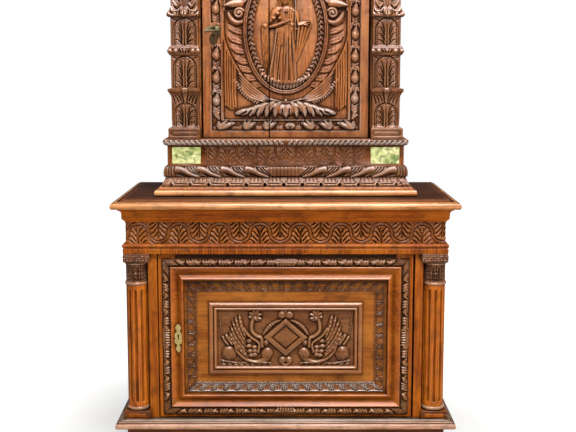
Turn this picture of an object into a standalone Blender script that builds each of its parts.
"""Two-part walnut buffet: a cupboard on bun feet with a smaller cupboard standing on its top board.

The width is +X to the right, the front looks along -Y and +Z is up; the origin is on the floor under
the middle of the piece.  All lengths are in metres.
"""
import math

import bmesh
import bpy
from mathutils import Vector

# Fits: standing pieces keep FIT between faces, moving ones keep RUN.
FIT = 0.0003
RUN = 0.0008

# Overall
TOP_W = 1.004
DEPTH = 0.510
FRONT = -DEPTH / 2
REAR = DEPTH / 2
BACK_T = 0.012
CASE_REAR = REAR - BACK_T
INNER_REAR = CASE_REAR - BACK_T - FIT
BOARD_T = 0.020

# Foot, plinth and base board
FOOT_H = 0.050
FOOT_R = 0.045
FOOT_TOP_R = 0.034
PLINTH_TOP = FOOT_H + 0.0555
PLINTH_HW = TOP_W / 2 - 0.034
PLINTH_FRONT = FRONT + 0.030
PLINTH_WALL = 0.048
BASE_TOP = PLINTH_TOP + 0.0215
BASE_HW = TOP_W / 2
BASE_FRONT = FRONT + 0.0145

# Lower entablature and top board
ENT_BOTTOM = BASE_TOP + 0.500
ARCH_TOP = ENT_BOTTOM + 0.0340
FRIEZE_TOP = ARCH_TOP + 0.0605
TOP_BOTTOM = FRIEZE_TOP + 0.0415
TOP_TOP = TOP_BOTTOM + 0.020
FRIEZE_HW = TOP_W / 2 - 0.0356
FRIEZE_FRONT = FRONT + 0.052
CASE_HW = FRIEZE_HW - 0.012
HEAD_BACK = FRONT + 0.125

# Columns
COL_R = 0.0320
COL_X = FRIEZE_HW - 0.0255
COL_Y = FRONT + 0.083
BLOCK_W = 0.078
BLOCK_LOW_H = 0.0250
BLOCK_TOP_H = 0.0240
FLUTES = 12
FLUTE_R = 0.0054

# Lower face frame and door
STILE_FACE = FRONT + 0.061
STILE_T = 0.022
NOTCH_X = COL_X - COL_R - 0.005
LDOOR_HW = NOTCH_X - 0.0292
JAMB_L = LDOOR_HW + 0.0030
JAMB_R = LDOOR_HW + 0.0055
LDOOR_Z0 = BASE_TOP + 0.003
LDOOR_Z1 = ENT_BOTTOM - 0.003
LDOOR_T = 0.026
LFRAME_W = 0.050
LPANEL_SET = 0.006
LPANEL_T = 0.014
LPIVOT_IN = 0.011
LPIVOT_BACK = 0.007
BORDER_W = 0.0245
BOL_W = 0.0405
INNER_X = 0.0295
INNER_Z = 0.0240
TABLET_HW = LDOOR_HW - 0.1748
TABLET_Z0 = LDOOR_Z0 + 0.1545
TABLET_Z1 = LDOOR_Z1 - 0.1660
TABLET_T = 0.008
LKEY_X = -LDOOR_HW + LFRAME_W + 0.0085
LKEY_Z = (LDOOR_Z0 + LDOOR_Z1) / 2 + 0.0015
LSHELF_Z = BASE_TOP + 0.42 * (TOP_BOTTOM - BASE_TOP)
SHELF_T = 0.018

# Upper door
UDOOR_HW = 0.2475
UDOOR_T = 0.024
UJAMB = UDOOR_HW + 0.0066
FIELD_SET = 0.004
FIELD_IN = 0.050
CRACK_X = -0.20 * UDOOR_HW
CRACK_W = 0.0008
OVAL_A = 0.43 * UDOOR_HW
UPIVOT_IN = 0.010
UPIVOT_BACK = 0.006
UPLATE_T = 0.0024

# Upper case
UBASE_TOP = TOP_TOP + 0.0290
TONGUE_TOP = UBASE_TOP + 0.0270
GADROON_TOP = TONGUE_TOP + 0.0360
PED_TOP = GADROON_TOP + 0.0590
FLOOR_TOP = PED_TOP + 0.0210
CEIL_Z = FLOOR_TOP + 0.6510
CEIL_TOP = CEIL_Z + 0.0260
UFRIEZE_TOP = CEIL_TOP + 0.0630
TOTAL_H = UFRIEZE_TOP + 0.0860
PIL_HW = 0.0407
PIL_X = UJAMB + PIL_HW + 0.0047
USTILE_OUT = PIL_X + PIL_HW + 0.0020
PED_HW = USTILE_OUT + 0.0124
UCASE_HW = USTILE_OUT - 0.007
UBASE_HW = PED_HW + 0.0380
UBASE_FRONT = FRONT + 0.131
PED_FRONT = UBASE_FRONT + 0.032
PIL_FRONT = PED_FRONT - 0.001
USTILE_FACE = PED_FRONT + 0.024
USTILE_BACK = USTILE_FACE + 0.040
USHELF_Z = FLOOR_TOP + 0.60 * (CEIL_Z - FLOOR_TOP)
UDOOR_Z0 = FLOOR_TOP + 0.0028
UDOOR_Z1 = CEIL_Z - 0.0028
OVAL_Z = (UDOOR_Z0 + UDOOR_Z1) / 2 - 0.004
OVAL_B = 0.55 * (OVAL_Z - UDOOR_Z0)
UKEY_X = -UDOOR_HW + 0.0326
UKEY_Z = OVAL_Z - 0.0170
COVER_X = UKEY_X + 0.0100
COVER_Z = UKEY_Z + 0.0235
BATTEN_H = 0.050

# Hardware
PIN_R = 0.0040
PIN_L = 0.0120
FLANGE_R = 0.0075
FLANGE_T = 0.0012
BOLT_H = 0.018
BOLT_T = 0.0070
BOLT_L = 0.040
LOCK_T = 0.016


def clear_scene():
    """Remove every object left in the scene."""
    for old in list(bpy.data.objects):
        bpy.data.objects.remove(old, do_unlink=True)


def new_collection(name, hidden=False):
    """Add a collection to the scene."""
    col = bpy.data.collections.new(name)
    bpy.context.scene.collection.children.link(col)
    col.hide_render = hidden
    return col


def stock(name, rgb, rough, metal=0.0):
    """Plain material with one base colour."""
    mat = bpy.data.materials.new(name)
    mat.use_nodes = True
    shader = mat.node_tree.nodes["Principled BSDF"]
    shader.inputs["Base Color"].default_value = (*rgb, 1.0)
    shader.inputs["Roughness"].default_value = rough
    shader.inputs["Metallic"].default_value = metal
    return mat


clear_scene()
PARTS = new_collection("two_part_buffet")
CUTTERS = new_collection("cutters", hidden=True)
WALNUT = ("walnut", (0.23, 0.11, 0.05), 0.4, 0.0)
BRASS = ("brass", (0.72, 0.48, 0.17), 0.35, 1.0)
BRONZE = ("bronze", (0.35, 0.27, 0.16), 0.4, 1.0)
IRON = ("iron", (0.10, 0.10, 0.10), 0.5, 1.0)
MARBLE = ("marble", (0.60, 0.58, 0.38), 0.25, 0.0)


def finish(obj, kind):
    """Name the mesh, give it its own material and keep the object in the parts collection."""
    obj.data.name = obj.name
    obj.data.materials.clear()
    obj.data.materials.append(stock(obj.name + "_" + kind[0], *kind[1:]))
    return obj


def from_bmesh(name, bm, collection):
    """Turn a bmesh into an object with outward normals."""
    bmesh.ops.recalc_face_normals(bm, faces=bm.faces[:])
    mesh = bpy.data.meshes.new(name)
    bm.to_mesh(mesh)
    bm.free()
    obj = bpy.data.objects.new(name, mesh)
    collection.objects.link(obj)
    return obj


def loft(name, loops, ring=False, collection=None):
    """Skin a run of equal outlines; open runs are capped, ring runs close on themselves."""
    bm = bmesh.new()
    rows = [[bm.verts.new(p) for p in loop] for loop in loops]
    count = len(rows[0])
    pairs = list(zip(rows, rows[1:]))
    if ring:
        pairs.append((rows[-1], rows[0]))
    else:
        bm.faces.new(rows[0])
        bm.faces.new(rows[-1])
    for low, high in pairs:
        for i in range(count):
            j = (i + 1) % count
            bm.faces.new((low[i], low[j], high[j], high[i]))
    return from_bmesh(name, bm, collection or PARTS)


def block(name, x, y, z, bevel=0.0, collection=None):
    """Box between pairs of limits, its edges eased with a Bevel modifier."""
    bm = bmesh.new()
    bmesh.ops.create_cube(bm, size=1.0)
    size = Vector((x[1] - x[0], y[1] - y[0], z[1] - z[0]))
    bmesh.ops.scale(bm, vec=size, verts=bm.verts[:])
    middle = Vector((x[0] + x[1], y[0] + y[1], z[0] + z[1])) / 2
    bmesh.ops.translate(bm, vec=middle, verts=bm.verts[:])
    obj = from_bmesh(name, bm, collection or PARTS)
    if bevel > 0.0:
        ease(obj, bevel)
    return obj


def apply_modifier(obj, mod):
    """Apply one modifier to its object."""
    bpy.context.view_layer.objects.active = obj
    with bpy.context.temp_override(object=obj, active_object=obj, selected_objects=[obj]):
        bpy.ops.object.modifier_apply(modifier=mod.name)


def ease(obj, width):
    """Round the sharp edges of a board by a small bevel."""
    mod = obj.modifiers.new("eased_edges", "BEVEL")
    mod.width = width
    mod.segments = 1
    mod.limit_method = "ANGLE"
    mod.angle_limit = math.radians(40)
    apply_modifier(obj, mod)


def boolean(obj, tool, operation):
    """Apply an exact boolean and put the tool away with the cutters."""
    mod = obj.modifiers.new(operation.lower(), "BOOLEAN")
    mod.operation = operation
    mod.solver = "EXACT"
    mod.object = tool
    apply_modifier(obj, mod)
    for col in list(tool.users_collection):
        col.objects.unlink(tool)
    CUTTERS.objects.link(tool)
    tool.hide_render = True
    tool.display_type = "WIRE"
    return obj


def turned(name, profile, steps, at, collection=None):
    """Turn a profile of (radius, height) pairs, listed top to bottom, with a Screw modifier."""
    mesh = bpy.data.meshes.new(name)
    verts = [(r, 0.0, z) for r, z in profile]
    edges = [(i, i + 1) for i in range(len(verts) - 1)]
    mesh.from_pydata(verts, edges, [])
    obj = bpy.data.objects.new(name, mesh)
    (collection or PARTS).objects.link(obj)
    mod = obj.modifiers.new("turning", "SCREW")
    mod.steps = steps
    mod.render_steps = steps
    mod.use_merge_vertices = True
    mod.merge_threshold = 1e-5
    apply_modifier(obj, mod)
    bm = bmesh.new()
    bm.from_mesh(obj.data)
    bmesh.ops.translate(bm, vec=Vector(at), verts=bm.verts[:])
    bmesh.ops.recalc_face_normals(bm, faces=bm.faces[:])
    bm.to_mesh(obj.data)
    bm.free()
    return obj


def rod(name, radius, start, end, steps=16, collection=None):
    """Plain round bar between two points, square at both ends."""
    a = Vector(start)
    b = Vector(end)
    bm = bmesh.new()
    bmesh.ops.create_cone(bm, cap_ends=True, segments=steps, radius1=radius, radius2=radius,
                          depth=(b - a).length)
    turn = Vector((0, 0, 1)).rotation_difference((b - a).normalized()).to_matrix()
    bmesh.ops.rotate(bm, cent=(0, 0, 0), matrix=turn, verts=bm.verts[:])
    bmesh.ops.translate(bm, vec=(a + b) / 2, verts=bm.verts[:])
    return from_bmesh(name, bm, collection or PARTS)


def moulded_board(name, half, front, rear, levels):
    """Board whose front and two ends carry one mitred moulding: levels are (height, outset)."""
    loops = []
    for z, out in levels:
        loops.append([(-half - out, rear, z), (-half - out, front - out, z),
                      (half + out, front - out, z), (half + out, rear, z)])
    return loft(name, loops)


def three_sided(name, half, front, rear, levels, inner_half, inner_front):
    """Mitred frame on the front and both ends, open at the rear, with a plain inside."""
    loops = []
    for z, out in levels:
        loops.append([(-half - out, rear, z), (-half - out, front - out, z),
                      (half + out, front - out, z), (half + out, rear, z),
                      (inner_half, rear, z), (inner_half, inner_front, z),
                      (-inner_half, inner_front, z), (-inner_half, rear, z)])
    return loft(name, loops)


def picture_frame(name, x, z, face, profile, collection=None):
    """Mitred closed frame in the plane of a door: profile is (x inset, z inset, depth) points."""
    corners = ((0, 0), (1, 0), (1, 1), (0, 1))
    loops = []
    for cx, cz in corners:
        loop = []
        for inset_x, inset_z, y in profile:
            px = x[0] + inset_x if cx == 0 else x[1] - inset_x
            pz = z[0] + inset_z if cz == 0 else z[1] - inset_z
            loop.append((px, face + y, pz))
        loops.append(loop)
    return loft(name, loops, ring=True, collection=collection)


def even(points):
    """Profile with the same inset across and up."""
    return [(inset, inset, y) for inset, y in points]


def arc(z0, z1, out0, bulge, count=6):
    """Half-round run of levels between two heights."""
    run = []
    for i in range(count + 1):
        t = math.pi * i / count
        run.append((z0 + (z1 - z0) * (1 - math.cos(t)) / 2, out0 + bulge * math.sin(t)))
    return run


# Feet and plinth
FOOT_X = PLINTH_HW - PLINTH_WALL * 0.62
FOOT_YF = PLINTH_FRONT + PLINTH_WALL * 0.62
FOOT_YB = CASE_REAR - FOOT_R
FOOT_PROFILE = ((0.0, FOOT_H), (FOOT_TOP_R, FOOT_H), (FOOT_TOP_R, FOOT_H * 0.90),
                (FOOT_R * 0.86, FOOT_H * 0.84), (FOOT_R * 0.97, FOOT_H * 0.68), (FOOT_R, FOOT_H * 0.52),
                (FOOT_R * 0.97, FOOT_H * 0.36), (FOOT_R * 0.86, FOOT_H * 0.18), (FOOT_R * 0.70, FOOT_H * 0.06),
                (FOOT_R * 0.62, 0.0), (0.0, 0.0))
for side, sx in (("left", -1), ("right", 1)):
    for end, fy in (("front", FOOT_YF), ("back", FOOT_YB)):
        foot = turned("foot_" + end + "_" + side, FOOT_PROFILE, 20, (sx * FOOT_X, fy, 0.0))
        finish(foot, WALNUT)

plinth = block("plinth_frame", (-PLINTH_HW, PLINTH_HW), (PLINTH_FRONT, CASE_REAR),
               (FOOT_H + FIT, PLINTH_TOP), 0.002)
hollow = block("plinth_hollow", (-PLINTH_HW + PLINTH_WALL, PLINTH_HW - PLINTH_WALL),
               (PLINTH_FRONT + PLINTH_WALL, CASE_REAR - PLINTH_WALL), (0.0, PLINTH_TOP + 0.02))
boolean(plinth, hollow, "DIFFERENCE")
finish(plinth, WALNUT)

base_z = PLINTH_TOP + FIT
base_h = BASE_TOP - base_z
base = moulded_board("base_board", BASE_HW, BASE_FRONT, CASE_REAR,
                     [(base_z, -0.012), (base_z + 0.001, -0.004), (base_z + 0.10 * base_h, -0.0022),
                      (base_z + 0.25 * base_h, -0.0004), (base_z + 0.45 * base_h, 0.0),
                      (base_z + 0.65 * base_h, -0.0004), (base_z + 0.80 * base_h, -0.0022),
                      (base_z + 0.88 * base_h, -0.0045), (base_z + 0.90 * base_h, -0.0085),
                      (BASE_TOP, -0.0100)])
finish(base, WALNUT)

# Lower carcass
CASE_Z0 = BASE_TOP + FIT
CASE_Z1 = TOP_BOTTOM - FIT
JAMBS = {-1: JAMB_L, 1: JAMB_R}
for side, sx in (("left", -1), ("right", 1)):
    xs = sorted((sx * (CASE_HW - BOARD_T), sx * CASE_HW))
    panel = block("lower_side_" + side, xs, (HEAD_BACK + STILE_T + FIT, INNER_REAR),
                  (CASE_Z0, CASE_Z1), 0.001)
    sink = []
    for py, pz in ((0, 0), (1, 0), (1, 1), (0, 1)):
        loop = []
        for inset, depth in ((0.046, -0.004), (0.046, 0.005), (0.056, 0.005), (0.074, -0.004)):
            y = HEAD_BACK + STILE_T + inset if py == 0 else CASE_REAR - BACK_T - inset
            z = CASE_Z0 + inset if pz == 0 else ENT_BOTTOM - inset
            loop.append((sx * (CASE_HW - depth), y, z))
        sink.append(loop)
    boolean(panel, loft("lower_field_" + side, sink, ring=True), "DIFFERENCE")
    finish(panel, WALNUT)
    jamb = JAMBS[sx]
    rear_leg = sorted((sx * jamb, sx * CASE_HW))
    stile = block("lower_stile_" + side, rear_leg, (HEAD_BACK, HEAD_BACK + STILE_T),
                  (CASE_Z0, ENT_BOTTOM - FIT))
    front_leg = sorted((sx * jamb, sx * NOTCH_X))
    leg = block("lower_leg_" + side, front_leg, (STILE_FACE, HEAD_BACK + 0.5 * STILE_T),
                (CASE_Z0, ENT_BOTTOM - FIT))
    boolean(stile, leg, "UNION")
    if sx < 0:
        mortise = block("lower_mortise", (-jamb - 0.012, -jamb + 0.01),
                        (STILE_FACE + LDOOR_T + LOCK_T / 2 - BOLT_T / 2 - RUN,
                         STILE_FACE + LDOOR_T + LOCK_T / 2 + BOLT_T / 2 + RUN),
                        (LKEY_Z + 0.008 - BOLT_H / 2 - RUN, LKEY_Z + 0.008 + BOLT_H / 2 + RUN))
        boolean(stile, mortise, "DIFFERENCE")
    finish(stile, WALNUT)

lower_back = block("lower_back", (-CASE_HW, CASE_HW), (CASE_REAR - BACK_T, CASE_REAR),
                   (CASE_Z0, CASE_Z1), 0.001)
finish(lower_back, WALNUT)
SHELF_HW = CASE_HW - BOARD_T - FIT
lower_shelf = block("lower_shelf", (-SHELF_HW, SHELF_HW),
                    (HEAD_BACK + STILE_T + FIT, INNER_REAR), (LSHELF_Z, LSHELF_Z + SHELF_T), 0.001)
finish(lower_shelf, WALNUT)

# Columns: a notched block below, and above it a turned shaft with stopped flutes and a square abacus
SHAFT_Z0 = BASE_TOP + BLOCK_LOW_H + 2 * FIT
SHAFT_Z1 = ENT_BOTTOM - BLOCK_TOP_H
COL_H = SHAFT_Z1 - SHAFT_Z0
COLUMN = ((0.0, COL_H), (COL_R * 0.98, COL_H), (COL_R * 1.03, COL_H - 0.003), (COL_R * 1.03, COL_H - 0.006),
          (COL_R * 0.95, COL_H - 0.008), (COL_R * 0.94, COL_H - 0.050), (COL_R * 0.96, COL_H - 0.0525),
          (COL_R * 1.06, COL_H - 0.0545), (COL_R * 1.09, COL_H - 0.0580), (COL_R * 1.06, COL_H - 0.0615),
          (COL_R * 0.99, COL_H - 0.0640), (COL_R, 0.0230), (COL_R * 1.02, 0.0190), (COL_R * 1.02, 0.0170),
          (COL_R * 1.09, 0.0145), (COL_R * 1.12, 0.0090), (COL_R * 1.10, 0.0035), (COL_R * 1.04, 0.0008),
          (COL_R * 1.02, 0.0), (0.0, 0.0))
FLUTE_Z0 = 0.030
FLUTE_Z1 = COL_H - 0.074
for side, sx in (("left", -1), ("right", 1)):
    column = turned("column_" + side, COLUMN, 3 * FLUTES, (0.0, 0.0, 0.0))
    reeds = []
    for i in range(FLUTES):
        angle = 2 * math.pi * (i + 0.5) / FLUTES
        bm = bmesh.new()
        spot = ((FLUTE_Z0, 0.0), (FLUTE_Z0 + 0.5 * FLUTE_R, 0.75), (FLUTE_Z0 + 1.6 * FLUTE_R, 1.0),
                (FLUTE_Z1 - 1.6 * FLUTE_R, 1.0), (FLUTE_Z1 - 0.5 * FLUTE_R, 0.75), (FLUTE_Z1, 0.0))
        px = (COL_R + 0.0016) * math.cos(angle)
        py = (COL_R + 0.0016) * math.sin(angle)
        rings = []
        for z, f in spot[1:-1]:
            rings.append([bm.verts.new((px + f * FLUTE_R * math.cos(k * math.pi / 4),
                                        py + f * FLUTE_R * math.sin(k * math.pi / 4), z)) for k in range(8)])
        low = bm.verts.new((px, py, spot[0][0]))
        top = bm.verts.new((px, py, spot[-1][0]))
        for a, b in zip(rings, rings[1:]):
            for k in range(8):
                bm.faces.new((a[k], a[(k + 1) % 8], b[(k + 1) % 8], b[k]))
        for k in range(8):
            bm.faces.new((rings[0][(k + 1) % 8], rings[0][k], low))
            bm.faces.new((rings[-1][k], rings[-1][(k + 1) % 8], top))
        reeds.append(from_bmesh("flute_cutter", bm, CUTTERS))
    for reed in reeds:
        boolean(column, reed, "DIFFERENCE")
    for vert in column.data.vertices:
        vert.co += Vector((sx * COL_X, COL_Y, SHAFT_Z0))
    half = BLOCK_W / 2
    for name, z0, z1 in (("column_plinth_", CASE_Z0, BASE_TOP + BLOCK_LOW_H),
                         ("column_abacus_", SHAFT_Z1 - 0.001, ENT_BOTTOM - FIT)):
        cube = block(name + side, (sx * COL_X - half, sx * COL_X + half), (COL_Y - half, COL_Y + half),
                     (z0, z1), 0.0012)
        notch = block("notch_" + name + side, sorted((sx * (NOTCH_X + FIT), sx * (COL_X - half - 0.01))),
                      (STILE_FACE - FIT, COL_Y + half + 0.01), (z0 - 0.01, z1 + 0.01))
        boolean(cube, notch, "DIFFERENCE")
        if name == "column_abacus_":
            boolean(column, cube, "UNION")
        else:
            finish(cube, WALNUT)
    finish(column, WALNUT)

# Lower entablature, mitred round the front and both ends
IN_HW = CASE_HW + FIT
arch_z0 = ENT_BOTTOM
architrave = three_sided("lower_architrave", FRIEZE_HW, FRIEZE_FRONT, CASE_REAR,
                         [(arch_z0, 0.0075), (arch_z0 + 0.016, 0.0082), (arch_z0 + 0.0180, 0.0050)]
                         + arc(arch_z0 + 0.0185, ARCH_TOP, 0.0040, 0.0060), IN_HW, HEAD_BACK)
finish(architrave, WALNUT)
frieze = three_sided("lower_frieze", FRIEZE_HW, FRIEZE_FRONT, CASE_REAR,
                     [(ARCH_TOP + FIT, 0.0), (FRIEZE_TOP - FIT, 0.0)], IN_HW, HEAD_BACK)
finish(frieze, WALNUT)
og = FRIEZE_TOP
ogee = three_sided("lower_cornice", FRIEZE_HW, FRIEZE_FRONT, CASE_REAR,
                   [(og, 0.0015), (og + 0.004, 0.0030), (og + 0.007, 0.0070), (og + 0.009, 0.0090),
                    (og + 0.026, 0.0100), (og + 0.030, 0.0110), (og + 0.034, 0.0150), (og + 0.036, 0.0200),
                    (TOP_BOTTOM - FIT, 0.0205)], IN_HW, HEAD_BACK)
finish(ogee, WALNUT)
top_h = TOP_TOP - TOP_BOTTOM
top = moulded_board("lower_top_board", TOP_W / 2, FRONT, REAR,
                    [(TOP_BOTTOM, -0.0150), (TOP_BOTTOM + 0.001, -0.0040)]
                    + [(TOP_BOTTOM + 0.001 + (top_h - 0.003) * t, -0.0036 * (2 * t - 1) ** 2)
                       for t in (0.0, 0.2, 0.4, 0.6, 0.8, 1.0)]
                    + [(TOP_TOP - 0.002, -0.0070), (TOP_TOP, -0.0090)])
finish(top, WALNUT)

# Lower door: tenoned frame, applied mouldings, panel and carved tablet
FACE = STILE_FACE
BACK = STILE_FACE + LDOOR_T
DX = (-LDOOR_HW, LDOOR_HW)
DZ = (LDOOR_Z0, LDOOR_Z1)
TENON_L = 0.022
TENON_T = 0.009
TENON_IN = 0.010
LPIVOT = (LDOOR_HW - LPIVOT_IN, STILE_FACE + LPIVOT_BACK)
mid_y = (FACE + BACK) / 2
lstiles = {}
for side, sx in (("left", -1), ("right", 1)):
    xs = sorted((sx * LDOOR_HW, sx * (LDOOR_HW - LFRAME_W)))
    lstiles[sx] = block("lower_door_stile_" + side, xs, (FACE, BACK), DZ, 0.001)
    inner = sx * (LDOOR_HW - LFRAME_W)
    for z0, z1 in ((DZ[0], DZ[0] + LFRAME_W), (DZ[1] - LFRAME_W, DZ[1])):
        xm = sorted((inner + sx * (TENON_L + RUN), inner - sx * 0.01))
        hole = block("mortise_" + side, xm, (mid_y - TENON_T / 2 - FIT, mid_y + TENON_T / 2 + FIT),
                     (z0 + TENON_IN - FIT, z1 - TENON_IN + FIT))
        boolean(lstiles[sx], hole, "DIFFERENCE")
for z0, z1 in ((DZ[0] - 0.01, DZ[0] + PIN_L + 0.001), (DZ[1] - PIN_L - 0.001, DZ[1] + 0.01)):
    bore = rod("lower_bore", PIN_R + RUN / 2, (*LPIVOT, z0), (*LPIVOT, z1))
    boolean(lstiles[1], bore, "DIFFERENCE")
for sx in (-1, 1):
    finish(lstiles[sx], WALNUT)
RAIL_HW = LDOOR_HW - LFRAME_W - FIT
for level, z0, z1 in (("bottom", DZ[0], DZ[0] + LFRAME_W), ("top", DZ[1] - LFRAME_W, DZ[1])):
    rail = block("lower_door_rail_" + level, (-RAIL_HW, RAIL_HW), (FACE, BACK), (z0, z1), 0.001)
    tenon = block("tenon_" + level, (-RAIL_HW - TENON_L, RAIL_HW + TENON_L),
                  (mid_y - TENON_T / 2, mid_y + TENON_T / 2), (z0 + TENON_IN, z1 - TENON_IN))
    boolean(rail, tenon, "UNION")
    finish(rail, WALNUT)

BORDER_X = (DX[0] + 0.0105, DX[1] - 0.0105)
BORDER_Z = (DZ[0] + 0.0075, DZ[1] - 0.0115)
bead = [(BORDER_W * (1 - math.cos(math.pi * i / 6)) / 2, -FIT - 0.002 - 0.0055 * math.sin(math.pi * i / 6))
        for i in range(7)]
border = picture_frame("lower_door_border", BORDER_X, BORDER_Z, FACE,
                       even([(0.0, -FIT)] + bead + [(BORDER_W, -FIT)]))
finish(border, WALNUT)
BOL_X = (BORDER_X[0] + BORDER_W + FIT, BORDER_X[1] - BORDER_W - FIT)
BOL_Z = (BORDER_Z[0] + BORDER_W + FIT, BORDER_Z[1] - BORDER_W - FIT)
LAP_X = LFRAME_W - 0.0105 - BORDER_W + FIT
LAP_Z0 = LFRAME_W - 0.0075 - BORDER_W + FIT
LAP_Z1 = LFRAME_W - 0.0115 - BORDER_W + FIT
LAP_Z = max(LAP_Z0, LAP_Z1)
bolection_profile = [(0.0, 0.0, -FIT), (0.0, 0.0, -0.0060), (0.0015, 0.0015, -0.0090),
                     (0.0050, 0.0050, -0.0110), (0.0120, 0.0120, -0.0120), (0.0355, 0.0355, -0.0120),
                     (0.0358, 0.0358, -0.0095), (0.0395, 0.0395, -0.0085), (BOL_W, BOL_W, -0.0060),
                     (BOL_W, BOL_W, LPANEL_SET - FIT), (LAP_X, LAP_Z, LPANEL_SET - FIT), (LAP_X, LAP_Z, -FIT)]
bolection = picture_frame("lower_door_bolection", BOL_X, BOL_Z, FACE, bolection_profile)
key_bore = rod("lower_key_bore", 0.0045, (LKEY_X, FACE - 0.05, LKEY_Z), (LKEY_X, BACK + 0.05, LKEY_Z))
boolean(bolection, key_bore, "DIFFERENCE")
finish(bolection, WALNUT)
panel_x = DX[1] - LFRAME_W - FIT
panel = block("lower_door_panel", (-panel_x, panel_x), (FACE + LPANEL_SET, FACE + LPANEL_SET + LPANEL_T),
              (DZ[0] + LFRAME_W + FIT, DZ[1] - LFRAME_W - FIT))
key_bore_panel = rod("lower_key_bore_panel", 0.0045, (LKEY_X, FACE - 0.05, LKEY_Z),
                     (LKEY_X, BACK + 0.05, LKEY_Z))
boolean(panel, key_bore_panel, "DIFFERENCE")
finish(panel, WALNUT)
P_FACE = FACE + LPANEL_SET
TAB_X = (-TABLET_HW - INNER_X, TABLET_HW + INNER_X)
TAB_Z = (TABLET_Z0 - INNER_Z, TABLET_Z1 + INNER_Z)
step = [(0.0, -FIT), (0.0, -0.0045), (0.08, -0.0075), (0.22, -0.0090), (0.38, -0.0080), (0.46, -0.0055),
        (0.52, -0.0055), (0.56, -0.0100), (0.70, -0.0122), (0.86, -0.0112), (0.97, -0.0080), (1.0, -FIT)]
inner_profile = [(t * (INNER_X - FIT), t * (INNER_Z - FIT), y) for t, y in step]
inner = picture_frame("lower_door_inner_frame", TAB_X, TAB_Z, P_FACE, inner_profile)
finish(inner, WALNUT)
tablet = block("lower_door_tablet", (-TABLET_HW, TABLET_HW), (P_FACE - TABLET_T * 0.5, P_FACE - FIT),
               (TABLET_Z0, TABLET_Z1))
TAB_MID = (TABLET_Z0 + TABLET_Z1) / 2 + 0.0025
lozenge = []
for half_w, half_h, y in ((0.066, 0.0565, 0.001), (0.065, 0.0555, -0.0075), (0.060, 0.051, -0.0095),
                          (0.048, 0.041, -0.0085), (0.039, 0.034, -0.004)):
    lozenge.append([(half_w, P_FACE + y, TAB_MID), (0.0, P_FACE + y, TAB_MID + half_h),
                    (-half_w, P_FACE + y, TAB_MID), (0.0, P_FACE + y, TAB_MID - half_h)])
lozenge[0] = [(x, P_FACE - 0.002, z) for x, y, z in lozenge[0]]
boolean(tablet, loft("lozenge", lozenge), "UNION")
finish(tablet, WALNUT)


def plate(name, outline, y0, y1, collection=None):
    """Thin plate cut to an outline of (x, z) points between two depths."""
    return loft(name, [[(x, y0, z) for x, z in outline], [(x, y1, z) for x, z in outline]],
                collection=collection)


def mirrored(right):
    """Complete a symmetric outline from its right half, listed bottom to top."""
    return right + [(-x, z) for x, z in reversed(right) if abs(x) > 1e-9]


LESC = mirrored([(0.0, -0.0470), (0.0045, -0.0420), (0.0072, -0.0350), (0.0050, -0.0270), (0.0030, -0.0235),
                 (0.0090, -0.0190), (0.0118, -0.0110), (0.0092, -0.0040), (0.0112, 0.0020), (0.0108, 0.0090),
                 (0.0070, 0.0140), (0.0040, 0.0170), (0.0072, 0.0225), (0.0082, 0.0290), (0.0055, 0.0350),
                 (0.0, 0.0400)])
esc_face = FACE - 0.0120
esc = plate("lower_escutcheon", [(LKEY_X + x, LKEY_Z + z) for x, z in LESC], esc_face - 0.0020,
            esc_face - FIT)
keyhole = rod("lower_keyhole", 0.0032, (LKEY_X, FACE - 0.05, LKEY_Z + 0.0035),
              (LKEY_X, BACK, LKEY_Z + 0.0035), 12)
keyslot = block("lower_keyslot", (LKEY_X - 0.0014, LKEY_X + 0.0014), (FACE - 0.05, BACK),
                (LKEY_Z - 0.0080, LKEY_Z + 0.0035))
boolean(keyhole, keyslot, "UNION")
boolean(esc, keyhole, "DIFFERENCE")
finish(esc, BRASS)


def lock(prefix, x_edge, x_in, back, z_mid):
    """Lock case on the back of a door with a sliding bolt in its channel."""
    case = block(prefix + "_lock_case", (x_edge, x_in), (back + FIT, back + LOCK_T), (z_mid - 0.040, z_mid + 0.040),
                 0.001)
    y_mid = back + LOCK_T / 2
    channel = block(prefix + "_channel", (x_edge - 0.01, x_edge + BOLT_L + 0.004),
                    (y_mid - BOLT_T / 2 - FIT, y_mid + BOLT_T / 2 + FIT),
                    (z_mid - BOLT_H / 2 - FIT, z_mid + BOLT_H / 2 + FIT))
    boolean(case, channel, "DIFFERENCE")
    finish(case, IRON)
    bolt = block(prefix + "_bolt", (x_edge + 0.0005, x_edge + 0.0005 + BOLT_L),
                 (y_mid - BOLT_T / 2, y_mid + BOLT_T / 2), (z_mid - BOLT_H / 2, z_mid + BOLT_H / 2), 0.0005)
    finish(bolt, IRON)


lock("lower", -LDOOR_HW + 0.0005, LKEY_X + 0.022, BACK, LKEY_Z + 0.008)


def pivot(name, x, y, z, up):
    """Flanged pin: the flange bears on the case and the pin runs in the door."""
    span = (LDOOR_Z0 - BASE_TOP) + PIN_L - 0.001
    profile = [(0.0, span), (PIN_R * 0.8, span), (PIN_R, span - 0.0008), (PIN_R, FIT + FLANGE_T),
               (FLANGE_R, FIT + FLANGE_T), (FLANGE_R, FIT), (0.0, FIT)]
    if up < 0:
        profile = [(r, -h) for r, h in reversed(profile)]
    finish(turned(name, profile, 16, (x, y, z)), IRON)


pivot("lower_pivot_bottom", *LPIVOT, BASE_TOP, 1)
pivot("lower_pivot_top", *LPIVOT, ENT_BOTTOM, -1)

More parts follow.
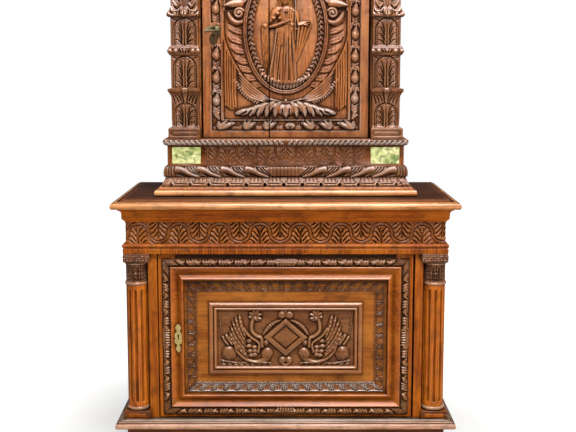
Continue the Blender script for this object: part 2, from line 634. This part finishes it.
# Upper case: base board, pedestal with its mouldings and plaques, floor
ub = TOP_TOP + FIT
uh = UBASE_TOP - ub
upper_base = moulded_board("upper_base_board", UBASE_HW, UBASE_FRONT, CASE_REAR,
                           [(ub, -0.006), (ub + 0.001, -0.003)]
                           + [(ub + 0.001 + 0.62 * uh * t, -0.003 * (2 * t - 1) ** 2)
                              for t in (0.0, 0.25, 0.5, 0.75, 1.0)]
                           + [(ub + 0.70 * uh, -0.0060), (ub + 0.74 * uh, -0.0110), (ub + 0.86 * uh, -0.0135),
                              (UBASE_TOP, -0.0150)])
finish(upper_base, WALNUT)
pedestal = three_sided("upper_pedestal", PED_HW, PED_FRONT, INNER_REAR,
                       [(UBASE_TOP + FIT, 0.0), (PED_TOP, 0.0)], UCASE_HW - BOARD_T, PED_FRONT + BOARD_T)
PLAQUE_X = (PED_HW - 0.0995, PED_HW - 0.0135)
PLAQUE_Z = (GADROON_TOP + 0.0050, PED_TOP - 0.0035)
PLAQUE_SET = 0.005
for side, sx in (("left", -1), ("right", 1)):
    xs = sorted((sx * PLAQUE_X[0], sx * PLAQUE_X[1]))
    bed = block("plaque_bed_" + side, (xs[0] - FIT, xs[1] + FIT), (PED_FRONT - 0.01, PED_FRONT + PLAQUE_SET + FIT),
                (PLAQUE_Z[0] - FIT, PLAQUE_Z[1] + FIT))
    boolean(pedestal, bed, "DIFFERENCE")
    marble = block("plaque_" + side, xs, (PED_FRONT - 0.001, PED_FRONT + PLAQUE_SET), PLAQUE_Z, 0.0008)
    finish(marble, MARBLE)
finish(pedestal, WALNUT)
tongue = three_sided("upper_tongue_moulding", PED_HW, PED_FRONT, INNER_REAR,
                     [(UBASE_TOP + FIT, 0.0140), (UBASE_TOP + 0.005, 0.0156), (UBASE_TOP + 0.009, 0.0152),
                      (UBASE_TOP + 0.015, 0.0115), (UBASE_TOP + 0.021, 0.0082), (TONGUE_TOP, 0.0070)],
                     PED_HW + FIT, PED_FRONT - FIT)
finish(tongue, WALNUT)
gadroon = three_sided("upper_gadroon_moulding", PED_HW, PED_FRONT, INNER_REAR,
                      arc(TONGUE_TOP + FIT, GADROON_TOP, 0.0025, 0.0078, 8), PED_HW + FIT, PED_FRONT - FIT)
finish(gadroon, WALNUT)
fz = PED_TOP + FIT
floor_board = moulded_board("upper_floor", PED_HW, PED_FRONT, INNER_REAR,
                            [(fz, 0.0020), (fz + 0.003, 0.0035), (fz + 0.007, 0.0070), (fz + 0.012, 0.0094),
                             (fz + 0.016, 0.0100), (fz + 0.018, 0.0098), (FLOOR_TOP, 0.0070)])
finish(floor_board, WALNUT)

# Upper carcass
UZ = (FLOOR_TOP + FIT, CEIL_Z - FIT)
for side, sx in (("left", -1), ("right", 1)):
    xs = sorted((sx * (UCASE_HW - BOARD_T), sx * UCASE_HW))
    y0 = USTILE_BACK + FIT
    y1 = INNER_REAR
    panel = block("upper_side_" + side, xs, (y0, y1), UZ, 0.001)
    sink = []
    for py, pz in ((0, 0), (1, 0), (1, 1), (0, 1)):
        loop = []
        for inset, depth in ((0.042, -0.004), (0.042, 0.005), (0.052, 0.005), (0.068, -0.004)):
            y = y0 + inset if py == 0 else y1 - inset
            z = UZ[0] + inset if pz == 0 else UZ[1] - inset
            loop.append((sx * (UCASE_HW - depth), y, z))
        sink.append(loop)
    boolean(panel, loft("upper_field_" + side, sink, ring=True), "DIFFERENCE")
    finish(panel, WALNUT)
    stile = block("upper_stile_" + side, sorted((sx * UJAMB, sx * USTILE_OUT)), (USTILE_FACE, USTILE_BACK),
                  UZ, 0.001)
    if sx < 0:
        y_mid = USTILE_FACE + UDOOR_T + LOCK_T / 2
        mortise = block("upper_mortise", (-UJAMB - 0.012, -UJAMB + 0.01),
                        (y_mid - BOLT_T / 2 - RUN, y_mid + BOLT_T / 2 + RUN),
                        (UKEY_Z + 0.008 - BOLT_H / 2 - RUN, UKEY_Z + 0.008 + BOLT_H / 2 + RUN))
        boolean(stile, mortise, "DIFFERENCE")
    tiers = [(0.0, 0.0095), (0.0300, 0.0095), (0.0335, 0.0010), (0.0400, -0.0010), (0.0620, 0.0), (0.1150, 0.0),
             (0.1250, 0.0010), (0.1340, 0.0055), (0.1390, 0.0100), (0.1460, 0.0100), (0.1480, -0.0010),
             (0.1560, 0.0), (0.2420, 0.0), (0.2440, 0.0020), (0.2480, 0.0056), (0.2560, 0.0078),
             (0.2640, 0.0056), (0.2700, 0.0020), (0.2720, 0.0), (0.3540, 0.0), (0.3555, 0.0095),
             (0.3620, 0.0100), (0.3680, 0.0055), (0.3840, -0.0010), (0.4280, -0.0030), (0.4680, 0.0),
             (0.4880, 0.0050), (0.4940, 0.0095), (0.5020, 0.0095), (0.5040, 0.0), (0.5880, 0.0),
             (0.5940, 0.0030), (0.6200, 0.0090), (0.6400, 0.0100)]
    scale = (UZ[1] - UZ[0] - 0.002) / tiers[-1][0]
    loops = []
    for h, out in tiers:
        z = UZ[0] + 0.001 + h * scale
        outer = sx * (PIL_X + PIL_HW + out)
        inner = sx * (PIL_X - PIL_HW - min(out, 0.004))
        front = PIL_FRONT - 0.8 * out
        loops.append([(inner, USTILE_FACE + 0.006, z), (inner, front, z),
                      (outer, front, z), (outer, USTILE_FACE + 0.006, z)])
    boolean(stile, loft("pilaster_" + side, loops), "UNION")
    finish(stile, WALNUT)

upper_back = block("upper_back", (-UCASE_HW, UCASE_HW), (CASE_REAR - BACK_T, CASE_REAR),
                   (UBASE_TOP + FIT, UFRIEZE_TOP - FIT), 0.001)
finish(upper_back, WALNUT)
USHELF_HW = UCASE_HW - BOARD_T - FIT
upper_shelf = block("upper_shelf", (-USHELF_HW, USHELF_HW), (USTILE_BACK + FIT, INNER_REAR),
                    (USHELF_Z, USHELF_Z + SHELF_T), 0.001)
finish(upper_shelf, WALNUT)
ceiling = moulded_board("upper_ceiling", PED_HW, PED_FRONT, INNER_REAR,
                        [(CEIL_Z, 0.0060), (CEIL_Z + 0.010, 0.0060), (CEIL_Z + 0.011, 0.0035)]
                        + arc(CEIL_Z + 0.013, CEIL_TOP, 0.0035, 0.0055))
finish(ceiling, WALNUT)
ufrieze = three_sided("upper_frieze", PED_HW - 0.004, PED_FRONT + 0.004, INNER_REAR,
                      [(CEIL_TOP + FIT, 0.0), (UFRIEZE_TOP - FIT, 0.0)], PED_HW - 0.030, PED_FRONT + 0.030)
finish(ufrieze, WALNUT)
cz = UFRIEZE_TOP
ch = TOTAL_H - cz
cornice = moulded_board("upper_cornice", PED_HW - 0.004, PED_FRONT + 0.004, CASE_REAR,
                        [(cz, 0.0020), (cz + 0.05 * ch, 0.0060), (cz + 0.05 * ch, 0.0100),
                         (cz + 0.22 * ch, 0.0110), (cz + 0.30 * ch, 0.0150), (cz + 0.36 * ch, 0.0220),
                         (cz + 0.38 * ch, 0.0380), (cz + 0.60 * ch, 0.0385), (cz + 0.63 * ch, 0.0410),
                         (cz + 0.72 * ch, 0.0435), (cz + 0.80 * ch, 0.0490), (cz + 0.86 * ch, 0.0560),
                         (cz + 0.90 * ch, 0.0590), (TOTAL_H, 0.0595)])
finish(cornice, WALNUT)

# Upper door: a solid carved leaf of two boards that have shrunk apart along one joint, with battens behind
UFACE = USTILE_FACE
UBACK = UFACE + UDOOR_T
UPIVOT = (UDOOR_HW - UPIVOT_IN, UFACE + UPIVOT_BACK)


def leaf_stock(name):
    """Whole door leaf: raised edge, sunk field and the oval frame of the medallion."""
    leaf = block(name, (-UDOOR_HW, UDOOR_HW), (UFACE, UBACK), (UDOOR_Z0, UDOOR_Z1), 0.001)
    field = block(name + "_field", (-UDOOR_HW + FIELD_IN, UDOOR_HW - FIELD_IN), (UFACE - 0.01, UFACE + FIELD_SET),
                  (UDOOR_Z0 + FIELD_IN + 0.006, UDOOR_Z1 - FIELD_IN - 0.006))
    boolean(leaf, field, "DIFFERENCE")
    loops = []
    for i in range(40):
        t = 2 * math.pi * i / 40
        loop = []
        for k, y in ((-0.013, 0.006), (-0.013, 0.0), (-0.009, -0.006), (-0.002, -0.009), (0.005, -0.008),
                     (0.010, -0.003), (0.017, -0.0015), (0.017, 0.006)):
            loop.append(((OVAL_A + k) * math.cos(t), UFACE + y, OVAL_Z + (OVAL_B + k) * math.sin(t)))
        loops.append(loop)
    boolean(leaf, loft(name + "_oval", loops, ring=True), "UNION")
    return leaf


for side, waste in (("left", (CRACK_X - CRACK_W / 2, UDOOR_HW + 0.1)),
                    ("right", (-UDOOR_HW - 0.1, CRACK_X + CRACK_W / 2))):
    leaf = leaf_stock("upper_door_board_" + side)
    offcut = block("offcut_" + side, waste, (UFACE - 0.1, UBACK + 0.1), (UDOOR_Z0 - 0.1, UDOOR_Z1 + 0.1))
    boolean(leaf, offcut, "DIFFERENCE")
    if side == "right":
        for z0, z1 in ((UDOOR_Z0 - 0.01, UDOOR_Z0 + PIN_L + 0.001), (UDOOR_Z1 - PIN_L - 0.001, UDOOR_Z1 + 0.01)):
            bore = rod("upper_bore", PIN_R + RUN / 2, (*UPIVOT, z0), (*UPIVOT, z1))
            boolean(leaf, bore, "DIFFERENCE")
    else:
        drill = rod("upper_key_bore", 0.0045, (UKEY_X, UFACE - 0.05, UKEY_Z), (UKEY_X, UBACK + 0.05, UKEY_Z))
        boolean(leaf, drill, "DIFFERENCE")
    finish(leaf, WALNUT)

for level, z0 in (("bottom", UDOOR_Z0 + 0.080), ("top", UDOOR_Z1 - 0.080 - BATTEN_H)):
    batten = block("upper_door_batten_" + level, (-UDOOR_HW + 0.022, UDOOR_HW - 0.042),
                   (UBACK + FIT, UBACK + 0.016), (z0, z0 + BATTEN_H), 0.002)
    finish(batten, WALNUT)

UESC = [(-0.0090, -0.0200), (0.0, -0.0270), (0.0095, -0.0190), (0.0130, -0.0060), (0.0190, 0.0020),
        (0.0215, 0.0130), (0.0190, 0.0260), (0.0150, 0.0330), (0.0070, 0.0340), (0.0030, 0.0260),
        (-0.0010, 0.0120), (-0.0105, 0.0040), (-0.0135, -0.0080)]
uesc = plate("upper_escutcheon", [(UKEY_X + x, UKEY_Z + z) for x, z in UESC], UFACE - UPLATE_T,
             UFACE - FIT)
ukeyhole = rod("upper_keyhole", 0.0030, (UKEY_X, UFACE - 0.05, UKEY_Z + 0.0030),
               (UKEY_X, UBACK, UKEY_Z + 0.0030), 12)
ukeyslot = block("upper_keyslot", (UKEY_X - 0.0013, UKEY_X + 0.0013), (UFACE - 0.05, UBACK),
                 (UKEY_Z - 0.0075, UKEY_Z + 0.0030))
boolean(ukeyhole, ukeyslot, "UNION")
boolean(uesc, ukeyhole, "DIFFERENCE")
finish(uesc, BRONZE)
COVER = [(0.0070, 0.0035), (0.0035, 0.0070), (-0.0035, 0.0072), (-0.0120, 0.0085), (-0.0220, 0.0065),
         (-0.0320, 0.0005), (-0.0390, -0.0075), (-0.0330, -0.0085), (-0.0240, -0.0060), (-0.0130, -0.0075),
         (-0.0040, -0.0065), (0.0040, -0.0060), (0.0070, -0.0020)]
cover = plate("upper_key_cover", [(COVER_X + x, COVER_Z + z) for x, z in COVER], UFACE - 2 * UPLATE_T,
              UFACE - UPLATE_T - FIT)
stud = rod("upper_cover_stud", 0.0042, (COVER_X, UFACE - 3 * UPLATE_T, COVER_Z),
           (COVER_X, UFACE - 1.5 * UPLATE_T, COVER_Z))
boolean(cover, stud, "UNION")
finish(cover, BRONZE)
lock("upper", -UDOOR_HW + 0.0005, UKEY_X + 0.030, UBACK, UKEY_Z + 0.008)
pivot("upper_pivot_bottom", *UPIVOT, FLOOR_TOP, 1)
pivot("upper_pivot_top", *UPIVOT, CEIL_Z, -1)


def set_pivot(name, at):
    """Move the origin of a moving piece onto its joint axis."""
    obj = bpy.data.objects[name]
    for vert in obj.data.vertices:
        vert.co -= Vector(at)
    obj.location = at


LOWER_LEAF = ("lower_door_stile_left", "lower_door_stile_right", "lower_door_rail_bottom",
              "lower_door_rail_top", "lower_door_border", "lower_door_bolection", "lower_door_panel",
              "lower_door_inner_frame", "lower_door_tablet", "lower_escutcheon", "lower_lock_case")
UPPER_LEAF = ("upper_door_board_left", "upper_door_board_right", "upper_door_batten_bottom",
              "upper_door_batten_top", "upper_escutcheon", "upper_lock_case")
for node in LOWER_LEAF:
    set_pivot(node, (*LPIVOT, LDOOR_Z0))
for node in UPPER_LEAF:
    set_pivot(node, (*UPIVOT, UDOOR_Z0))
set_pivot("upper_key_cover", (COVER_X, UFACE, COVER_Z))

print("ok", len(PARTS.objects))
